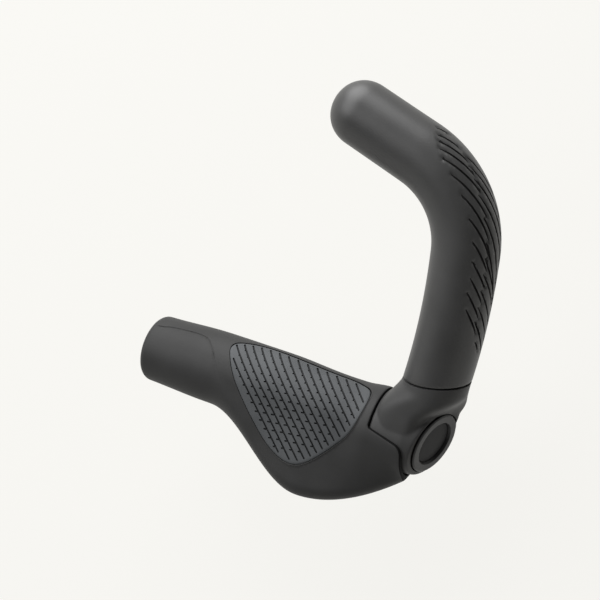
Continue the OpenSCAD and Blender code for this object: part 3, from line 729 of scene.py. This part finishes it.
def slotDepth(points, slots, foot):
    # 0 outside every slot, 1 on its floor; a slot is (start, end, half width)
    deep = np.zeros(len(points))
    for a, b, half in slots:
        deep = np.maximum(deep, np.clip((half - distanceTo(points, a, b)) / (half * (1 - foot)), 0, 1))
    return deep


def makePad():
    a = math.radians(pad["grooveAngle"])
    run, side = np.array([math.cos(a), -math.sin(a)]), np.array([math.sin(a), math.cos(a)])
    inner = grownLoop(padLoop, (-pad["margin"] * mix(1, 0.5, padFacing()))[:, None])
    acrossAll = padLoop @ side
    alongAll = padLoop @ run
    first = math.ceil((acrossAll.min() + pad["margin"]) / pad["pitch"])
    last = math.floor((acrossAll.max() - pad["margin"]) / pad["pitch"])
    grooves, nicks = [], []
    way = np.array(pad["nickWay"]) / np.linalg.norm(pad["nickWay"])
    crowd = np.array(pad["nickCrowd"])
    for k in range(first, last + 1):
        t = np.arange(alongAll.min(), alongAll.max(), 0.25)
        pts = side * k * pad["pitch"] + t[:, None] * run
        inside = insideLoop(pts, inner)
        if inside.sum() < 8:
            continue
        low, high = t[inside].min(), t[inside].max()
        base = side * k * pad["pitch"]
        grooves.append((base + run * low, base + run * high, pad["grooveWide"] / 2))
        slant = k * pad["pitch"] * (way @ run) / (way @ side)      # rows of nicks run along the bar
        for j in np.arange(math.floor((low - slant) / pad["nickStep"]), math.ceil((high - slant) / pad["nickStep"]) + 1):
            at = slant + j * pad["nickStep"]
            if low + 3 < at < high - 1:
                spot = base + run * at
                near = math.exp(-(np.linalg.norm((spot - crowd) / pad["nickSpread"]) ** 2))
                long = mix(pad["nickLong"][0], pad["nickLong"][1], near)
                nicks.append((spot, spot + way * long, pad["nickWide"] / 2))
    lines = []
    edgeLevels = ((0.0, -1.7), (0.02, -0.42), (0.14, -0.24), (0.4, -0.1), (0.85, 0.0))
    for d, _ in edgeLevels:
        lines.append((grownLoop(padLoop, -d), True))
    for a, b, half in grooves:
        lines.append((capsule(a, b, half), True))
        lines.append((capsule(a, b, half * 0.55), True))
    for a, b, half in nicks:
        lines.append((capsule(a, b, half, 0.6, 2), True))
        lines.append((capsule(a, b, half * 0.5, 0.6, 2), True))
    xs = np.arange(padLoop[:, 0].min(), padLoop[:, 0].max(), 0.8)
    ys = np.arange(padLoop[:, 1].min(), padLoop[:, 1].max(), 0.8)
    grid = np.array([(x, y) for x in xs for y in ys])
    grid = grid[insideLoop(grid, grownLoop(padLoop, -0.9))]
    flat, source, tris = meshFlat(grid, lines, 0.3)
    tris = tris[insideLoop(flat[tris].mean(1), np.array(lines[0][0]))]
    high = np.full(len(flat), pad["proud"])
    high -= pad["grooveDeep"] * np.maximum(slotDepth(flat, grooves, 0.55), 0.85 * slotDepth(flat, nicks, 0.5))
    n = len(padLoop)
    for k, (_, level) in enumerate(edgeLevels):
        mine = (source >= k * n) & (source < (k + 1) * n)
        high[mine] = pad["proud"] + level
    place = np.column_stack([flat, sectionHeight(flat[:, 0], flat[:, 1], 1) + high])
    lookup = {int(s): i for i, s in enumerate(source) if 0 <= s < n}
    before = [lookup[k] for k in range(n)]
    verts, faces, total = [place], [list(t) for t in tris], len(place)
    middles = flat[tris].mean(1)
    # faces in the grooves and nicks get the darker finish: painted shade, with some dust
    shadedGrooveFaces = (np.maximum(slotDepth(middles, grooves, 0.55), slotDepth(middles, nicks, 0.5)) > 0.05).astype(int)
    for share in (0.3, 0.6, 0.85):
        loop = mix(padLoop, padMiddle, share)
        verts.append(np.column_stack([loop, sectionHeight(loop[:, 0], loop[:, 1], 1) + pad["proud"] - 1.7]))
        now = list(range(total, total + n))
        total += n
        faces += [[before[k], before[(k + 1) % n], now[(k + 1) % n], now[k]] for k in range(n)]
        before = now
    faces.append(before[::-1])
    newPiece("gripPad", np.vstack(verts), faces, finish["padRubberFinish"], "grip", "palm_pad", 32,
             finish["padGrooveShadeFinish"], shadedGrooveFaces)


makePad()

# Bar end: drawn lying along Y like the CAD, then turned up by its rise
print("bar end arm")
arm = {
    "rise": 36.0, "lean": 11.8, "rootX": 133.8, "length": 86.3, "bow": 15.8, "bendRadius": 40.8, "bendTurn": 66.0,
    "tip": 42.2, "radius": 14.1, "tipRadius": 13.85, "coverStart": 29.2, "coverThick": 3.6, "shankStart": 18.0,
    "seamTilt": 9.0, "seamGap": 0.3, "domePower": 2.1, "sides": 100, "lip": 0.9,
}
bowRadius = arm["length"] / math.radians(arm["bow"])
bendLength = arm["bendRadius"] * math.radians(arm["bendTurn"])
armTotal = arm["length"] + bendLength + arm["tip"]
domeStart = armTotal - arm["tipRadius"]


def turnUp(points):
    a = math.radians(arm["rise"])
    y, z = points[..., 1], points[..., 2]
    return np.stack([points[..., 0], y * math.cos(a) - z * math.sin(a), y * math.sin(a) + z * math.cos(a)], -1)


def arcPoint(p, a, r, swing):
    a, swing = np.radians(a), np.radians(swing)
    return p + r * np.stack([np.cos(a - swing) - np.cos(a), np.sin(a) - np.sin(a - swing)], -1)


def heading(t):
    return np.where(t < arm["length"], arm["lean"] - arm["bow"] * t / arm["length"],
                    arm["lean"] - arm["bow"] - arm["bendTurn"] * np.clip((t - arm["length"]) / bendLength, 0, 1))


def armPoint(t):
    t = np.asarray(t, float)
    root = np.array([arm["rootX"], 0.0])
    p1 = arcPoint(root, arm["lean"], bowRadius, np.array(arm["bow"]))
    a1 = arm["lean"] - arm["bow"]
    p2 = arcPoint(p1, a1, arm["bendRadius"], np.array(arm["bendTurn"]))
    a2 = math.radians(a1 - arm["bendTurn"])
    low = arcPoint(root, arm["lean"], bowRadius, arm["bow"] * t / arm["length"])
    bent = arcPoint(p1, a1, arm["bendRadius"], arm["bendTurn"] * (t - arm["length"]) / bendLength)
    tip = p2 + (t - arm["length"] - bendLength)[..., None] * np.array([math.sin(a2), math.cos(a2)])
    first, second = (t < arm["length"])[..., None], (t < arm["length"] + bendLength)[..., None]
    return np.where(first, low, np.where(second, bent, tip))


def armRadius(t):
    return mix(arm["radius"], arm["tipRadius"], ease(t, arm["length"], armTotal - 2 * arm["tipRadius"]))


def armSurface(t, angle, radius):
    t, angle, radius = np.broadcast_arrays(np.asarray(t, float), np.asarray(angle, float), np.asarray(radius, float))
    p, a = armPoint(t), np.radians(heading(t))
    return np.stack([p[..., 0] + radius * np.cos(angle) * np.cos(a), p[..., 1] - radius * np.cos(angle) * np.sin(a),
                     radius * np.sin(angle)], -1)


def bowX(s):
    a = np.arcsin(math.sin(math.radians(arm["lean"])) - np.asarray(s, float) / bowRadius)
    return arm["rootX"] + bowRadius * (np.cos(a) - math.cos(math.radians(arm["lean"])))


def seamAlong(angle, radius, lift):
    # distance along the arm at which its skin meets the slanted edge of the rubber
    tilt = math.tan(math.radians(arm["seamTilt"]))
    x0, y0 = float(bowX(arm["coverStart"])), arm["coverStart"] + lift
    t = np.full(np.shape(angle), arm["coverStart"])
    for _ in range(12):
        p = armSurface(t, angle, radius)
        t = t + (y0 + (p[..., 0] - x0) * tilt - p[..., 1])
    return t


engraving = {
    "wide": 0.85, "deep": 0.6, "shift": 3.4, "innerFrom": 0.6, "innerEnd": -8.0, "innerLines": range(1, 12),
    "starts": [(1.53, 12), (1.507, 25), (1.488, 35), (1.465, 44), (1.432, 53), (1.36, 58), (1.275, 60), (1.176, 61),
               (1.083, 60), (1.002, 59), (0.927, 59), (0.857, 60), (0.776, 57), (0.695, 30), (0.614, 24)],
    "slope": (1.45, 2.4),       # run along the arm for each unit round it, low and high on the arm
}


def armGrooves():
    e, long = engraving, arm["length"]
    spans = [(share * long, start, start, start / 2, 0.0) for share, start in e["starts"]]
    spans += [(e["starts"][i][0] * long, e["starts"][i][1], e["innerFrom"] * e["starts"][i][1], e["innerEnd"], e["shift"])
              for i in e["innerLines"]]
    lines = []
    for t0, edge, top, low, shift in spans:
        steep = mix(*e["slope"], float(ease(t0, 1.1 * long, 1.3 * long))) * arm["radius"]
        angles = np.radians(np.linspace(top, low, 8))
        lines.append(np.column_stack([t0 - shift - steep * (math.radians(edge) - angles), angles * arm["radius"]]))
    return lines


def makeCover():
    sides, flatWide = arm["sides"], arm["radius"]
    angles = np.linspace(-math.pi, math.pi, sides + 1)
    lines, heights = [], []
    lip = arm["lip"]
    seamLoops = []
    for d in (lip, 0.5, 0.25, 0.08, 0):
        loop = np.column_stack([seamAlong(angles, arm["radius"], arm["seamGap"]) + d, angles * flatWide])
        seamLoops.append(loop)
        lines.append((loop, False))
        heights.append(np.full(len(loop), -(lip - math.sqrt(lip * lip - (lip - d) ** 2))))
    grooves = armGrooves()
    for g in grooves:
        for half in (engraving["wide"] / 2, engraving["wide"] * 0.22):
            u = np.gradient(g, axis=0)
            u /= np.linalg.norm(u, axis=1)[:, None]
            v = np.stack([-u[:, 1], u[:, 0]], -1) * half * np.array([0.3, 0.8, 1, 1, 1, 1, 0.8, 0.3])[:, None]
            lines.append((np.vstack([g + v, (g - v)[::-1]]), True))
    low = math.floor(seamLoops[-1][:, 0].min())
    along = np.append(np.arange(low, domeStart - 0.5, 1.15), domeStart)
    grid = [(t, w) for t in along for w in angles * flatWide]
    ends = (angles[0] * flatWide, angles[-1] * flatWide)
    fixed = [w in ends or t == domeStart for t in along for w in angles * flatWide]
    flat, source, tris = meshFlat(grid, lines, 0.5, fixed)
    wall = seamLoops[-1]
    outline = np.vstack([wall, [(domeStart, ends[1]), (domeStart, ends[0])]])
    tris = tris[insideLoop(flat[tris].mean(1), outline)]
    press = np.zeros(len(flat))
    level = np.concatenate(heights)
    mine = (source >= 0) & (source < len(level))
    press[mine] = level[source[mine]]
    for g in grooves:
        slots = [(g[i], g[i + 1], engraving["wide"] / 2) for i in range(len(g) - 1)]
        press -= engraving["deep"] * slotDepth(flat, slots, 0.44) * ~mine
    place = armSurface(flat[:, 0], flat[:, 1] / flatWide, armRadius(flat[:, 0]) + press)
    verts, faces, total = [place], [list(t) for t in tris], len(place)
    middles = flat[tris].mean(1)
    # faces in the engraved lines get the darker finish: painted shade
    shadedGrooveFaces = np.zeros(len(tris), int)
    for g in grooves:
        slots = [(g[i], g[i + 1], engraving["wide"] / 2) for i in range(len(g) - 1)]
        shadedGrooveFaces |= slotDepth(middles, slots, 0.44) > 0.12
    n = sides + 1
    # domed end
    lookup = sorted((i for i in range(len(flat)) if abs(flat[i, 0] - domeStart) < 1e-3), key=lambda i: flat[i, 1])
    before = lookup
    for u in np.sin(np.linspace(0, math.pi / 2, 26))[1:-1]:
        r = arm["tipRadius"] * (1 - u ** arm["domePower"]) ** (1 / arm["domePower"])
        verts.append(armSurface(np.full(n, domeStart + u * arm["tipRadius"]), angles, np.full(n, r)))
        now = list(range(total, total + n))
        total += n
        faces += [[before[k], before[k + 1], now[k + 1], now[k]] for k in range(n - 1)]
        before = now
    verts.append(armSurface(np.array([armTotal]), np.array([0.0]), np.array([0.0])))
    faces += [[before[k], before[k + 1], total] for k in range(n - 1)]
    total += 1
    # inside of the sleeve of rubber
    known = {int(s): i for i, s in enumerate(source) if s >= 0}
    start = sum(len(loop) for loop in seamLoops[:-1])
    before = [known[start + k] for k in range(n)]
    inner = arm["coverThick"]
    for share in np.linspace(0, 1, 40):
        t = mix(wall[:, 0], np.full(n, domeStart), share)
        verts.append(armSurface(t, angles, armRadius(t) - inner))
        now = list(range(total, total + n))
        total += n
        faces += [[before[k], before[k + 1], now[k + 1], now[k]] for k in range(n - 1)]
        before = now
    room = arm["tipRadius"] - inner
    for u in np.sin(np.linspace(0, math.pi / 2, 10))[1:-1]:
        r = room * (1 - u ** arm["domePower"]) ** (1 / arm["domePower"])
        verts.append(armSurface(np.full(n, domeStart + u * room), angles, np.full(n, r)))
        now = list(range(total, total + n))
        total += n
        faces += [[before[k], before[k + 1], now[k + 1], now[k]] for k in range(n - 1)]
        before = now
    verts.append(armSurface(np.array([domeStart + room]), np.array([0.0]), np.array([0.0])))
    faces += [[before[k], before[k + 1], total] for k in range(n - 1)]
    newPiece("armSkin", turnUp(np.vstack(verts)), faces, finish["armRubberFinish"], "bar_end", "bar_end_cover", 50,
             finish["armGrooveShadeFinish"], shadedGrooveFaces)


makeCover()

# Hub moulding: one smooth body, then cut for the clamp, the bolt and the cap
print("hub moulding")
hub = {
    "x": 117.8, "length": 24.5, "radius": 17.0, "taper": 1.9, "straight": 15.0, "edge": 0.4, "cavity": 15.5,
    "fillet": (12, 27), "flank": (11, 26), "square": (13, 26), "slant": (14, 30), "underFill": 1.5, "seamDrop": 0.3,
    "bandEnd": 133.7, "neckTop": 38.0, "capBack": 7.5, "capUp": 16.5, "capRadius": 14.1, "capThick": 2.8,
    "capRoom": 0.45, "stem": 9.0, "voxel": 0.42, "smoothing": 18,
}
capX = hub["x"] + hub["length"]


def hubRing(s, sides):
    lean = np.arcsin(math.sin(math.radians(arm["lean"])) - s / bowRadius)
    centre = float(bowX(s))
    low = mix(hub["x"] + 0.1, centre - arm["radius"] / math.cos(lean), float(ease(s, *hub["fillet"])))
    capLine = capX - 0.4 + max(0, s) * math.tan(math.radians(hub["capBack"]))
    high = mix(capLine, centre + arm["radius"] / math.cos(lean), float(ease(s, *hub["flank"])))
    deep = mix(hub["radius"] - 1, arm["radius"], float(ease(s, 0, arm["coverStart"])))
    power = 2 / mix(4.5, 2, float(ease(s, *hub["square"])))
    shear = 1.3 * math.tan(math.radians(hub["capUp"])) * (1 - float(ease(s, *hub["slant"])))
    f = np.arange(sides) * 2 * math.pi / sides
    z = deep * np.sign(np.sin(f)) * np.abs(np.sin(f)) ** power
    c = np.sign(np.cos(f)) * np.abs(np.cos(f)) ** power
    x = (low + high) / 2 + (high - low) / 2 * c - np.where(c > 0, shear * z * c, 0)
    swell = hub["underFill"] * float(ease(s, 1, 9) * (1 - ease(s, 13, 26)))
    x = x + swell * ease(-z / deep, 0.15, 0.75) * np.maximum(0, c)
    return np.stack([x, np.full(sides, float(s)), z], -1)


def alongBar(points, x0):
    return np.stack([points[:, 2] + x0, points[:, 1], -points[:, 0]], -1)


def atCap(points):
    p = alongBar(points, 0)
    b, c = math.radians(-hub["capUp"]), math.radians(-hub["capBack"])
    turnY = np.array([[math.cos(b), 0, math.sin(b)], [0, 1, 0], [-math.sin(b), 0, math.cos(b)]])
    turnZ = np.array([[math.cos(c), -math.sin(c), 0], [math.sin(c), math.cos(c), 0], [0, 0, 1]])
    return p @ (turnZ @ turnY).T + [capX, 0, 0]


def rawMesh(name, verts, faces):
    mesh = bpy.data.meshes.new(name)
    mesh.from_pydata((turnUp(np.asarray(verts, float)) * metre).tolist(), [], [list(map(int, f)) for f in faces])
    work = bmesh.new()
    work.from_mesh(mesh)
    bmesh.ops.remove_doubles(work, verts=work.verts, dist=1e-7)
    bmesh.ops.recalc_face_normals(work, faces=work.faces)
    work.to_mesh(mesh)
    work.free()
    made = bpy.data.objects.new(name, mesh)
    bpy.context.scene.collection.objects.link(made)
    return made


def applyAll(piece):
    bpy.context.view_layer.update()
    ready = piece.evaluated_get(bpy.context.evaluated_depsgraph_get())
    mesh = bpy.data.meshes.new_from_object(ready)
    piece.modifiers.clear()
    old = piece.data
    piece.data = mesh
    bpy.data.meshes.remove(old)


def combine(piece, tool, how):
    step = piece.modifiers.new(how, "BOOLEAN")
    step.operation = how
    step.solver = "EXACT"
    step.object = tool
    applyAll(piece)
    bpy.data.objects.remove(tool)


def boxMesh(low, high):
    x0, y0, z0 = low
    x1, y1, z1 = high
    verts = [(x0, y0, z0), (x1, y0, z0), (x1, y1, z0), (x0, y1, z0), (x0, y0, z1), (x1, y0, z1), (x1, y1, z1), (x0, y1, z1)]
    return verts, [(0, 3, 2, 1), (4, 5, 6, 7), (0, 1, 5, 4), (1, 2, 6, 5), (2, 3, 7, 6), (3, 0, 4, 7)]


def rod(radius, z0, z1, sides=96):
    return lathe([(1e-4, z0), (radius, z0), (radius, z1), (1e-4, z1)], sides)


bolt = {"x": 132.7, "y": 18.45, "nut": 8.0, "room": 0.3, "earStart": 12.85, "earEnd": 23.35, "earTop": 7.2, "earX": 127.7,
        "earWide": 10.0, "nutHigh": 3.2, "hole": 5.1}


def makeHub():
    end = hub["length"] + 8
    r, taper = hub["radius"], hub["taper"]
    corners = [(1e-4, 0), (r, 0), (r, hub["straight"]), (r - taper, hub["length"]), (r - taper, end), (1e-4, end)]
    profile = roundedCorner(corners, [0, 0.8, 4, 0, 0, 0], 6)
    verts, faces = lathe(profile, 128)
    body = rawMesh("hubMoulding", alongBar(verts, hub["x"]), faces)
    big = rod(60, 0, 60, 16)
    combine(body, rawMesh("capPlane", atCap(big[0]), big[1]), "DIFFERENCE")
    neck = loftRings([hubRing(s, 96) for s in np.concatenate([[-3, 0, 2], np.arange(3, 39, 1.0)])])
    combine(body, rawMesh("neckBlank", *neck), "UNION")
    melt = body.modifiers.new("melt", "REMESH")
    melt.mode = "VOXEL"
    melt.voxel_size = hub["voxel"] * metre
    applyAll(body)
    soften = body.modifiers.new("soften", "SMOOTH")
    soften.factor = 0.5
    soften.iterations = hub["smoothing"]
    applyAll(body)
    # slanted face below the arm's rubber
    tilt = math.radians(arm["seamTilt"])
    verts, faces = boxMesh((-60, 0, -60), (60, 250, 60))
    p = np.array(verts, float)
    p = np.stack([p[:, 0] * math.cos(tilt) - p[:, 1] * math.sin(tilt), p[:, 0] * math.sin(tilt) + p[:, 1] * math.cos(tilt), p[:, 2]], -1)
    p += [float(bowX(arm["coverStart"])), arm["coverStart"] - hub["seamDrop"], 0]
    combine(body, rawMesh("seamBlock", p, faces), "DIFFERENCE")
    b = bolt
    cavity = rod(hub["cavity"], 0, hub["bandEnd"] + 0.4 - hub["x"] + 1)
    combine(body, rawMesh("cavity", alongBar(cavity[0], hub["x"] - 1), cavity[1]), "DIFFERENCE")
    combine(body, rawMesh("earChannel", *boxMesh((b["earX"] - b["room"], b["earStart"] - b["room"], -b["earTop"] - b["room"]),
            (b["earX"] + b["earWide"] + b["room"], b["earEnd"] + b["room"], b["earTop"] + b["room"]))), "DIFFERENCE")
    half = b["nut"] / 2 + b["room"]
    combine(body, rawMesh("nutPocket", *boxMesh((b["x"] - half, b["y"] - half, 0),
            (b["x"] + half, b["y"] + half, b["earTop"] + b["nutHigh"] + 1.2))), "DIFFERENCE")
    hole = rod(b["hole"], -40, 0)
    combine(body, rawMesh("boltHole", hole[0] + np.array([b["x"], b["y"], 0]), hole[1]), "DIFFERENCE")
    seat = rod(hub["capRadius"] + hub["capRoom"], -hub["capThick"], 30)
    combine(body, rawMesh("capSeat", atCap(seat[0]), seat[1]), "DIFFERENCE")
    stem = rod(hub["stem"], -hub["capThick"] - 12, -hub["capThick"] + 1)
    combine(body, rawMesh("capStem", atCap(stem[0]), stem[1]), "DIFFERENCE")
    # core of the arm inside its rubber
    room = arm["tipRadius"] - arm["coverThick"]
    angles = np.arange(32) * 2 * math.pi / 32
    rings = [armSurface(np.full(32, t), angles, armRadius(t) - arm["coverThick"]) for t in np.linspace(24, domeStart, 50)]
    rings += [armSurface(np.full(32, domeStart + u * room), angles, room * (1 - u ** 2.1) ** (1 / 2.1))
              for u in (0.3, 0.55, 0.75, 0.9, 0.98)]
    verts, faces = loftRings(rings)
    combine(body, rawMesh("armCore", verts, faces), "UNION")
    body.data.materials.clear()
    body.data.materials.append(finish["hubPlasticFinish"])
    dressPiece(body, 45)
    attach(body, "bar_end")
    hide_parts("bar_end_core")
    print(f"  hubMoulding: {len(body.data.polygons)} faces")


makeHub()

# Slanted end cap
print("end cap")
cap = {"proud": 1.1, "ring": 4.2, "plugProud": 0.5, "recess": 0.7, "disc": 1.0, "stemLong": 2.4, "bevel": 0.6}


def makeCap():
    r, thick, room, stem = hub["capRadius"], hub["capThick"], hub["capRoom"], hub["stem"]
    inner = r - cap["ring"]
    top = cap["proud"]
    floor = cap["plugProud"] - cap["recess"] - cap["disc"]
    corners = [(1e-4, -thick - cap["stemLong"]), (stem - 0.05, -thick - cap["stemLong"]), (stem - 0.05, -thick),
               (r + room - 0.05, -thick), (r + room - 0.05, -thick + 0.7), (r, -thick + 0.9), (r, top - 0.4),
               (r - cap["bevel"], top), (inner + 0.5, top - 0.05), (inner, top - 1.2), (inner, floor), (1e-4, floor)]
    profile = roundedCorner(corners, [0, 0.3, 0.1, 0.2, 0.1, 0.1, 0.2, 0.3, 0.25, 0.2, 0.05, 0], 5)
    verts, faces = lathe(profile, 128)
    places = np.array([[np.hypot(verts[i, 0], verts[i, 1]), verts[i, 2]] for i in (f[0] for f in faces)])
    # the side of the cap in the gap round it gets painted shadow
    wall = (places[:, 0] > r - 0.1) & (places[:, 1] < top - 0.45)      # the side of the cap, down in the gap round it
    newPiece("capRing", turnUp(atCap(verts)), faces, finish["capRingFinish"], "bar_end", "end_plug", 45,
             finish["gapShadowFinish"], wall.astype(int))
    corners = [(1e-4, floor), (inner - 0.1, floor), (inner - 0.1, floor + cap["disc"]), (1e-4, floor + cap["disc"] + 0.12)]
    verts, faces = lathe(roundedCorner(corners, [0, 0, 0.35, 0], 5), 128)
    newPiece("capDisc", turnUp(atCap(verts)), faces, finish["capDiscFinish"], "bar_end", "plug_disc", 45)


makeCap()

# Inner pieces keep their CAD form and get their own finish
print("inner pieces")
for node, name in (("inner_sleeve", "sleevePlasticFinish"), ("clamp_band", "brushedAluminiumFinish"),
                   ("clamp_bolt", "blackSteelFinish"), ("bolt_washer", "zincSteelFinish"), ("clamp_nut", "zincSteelFinish")):
    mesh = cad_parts[node].data
    mesh.materials.clear()
    mesh.materials.append(finish[name])

print("done")
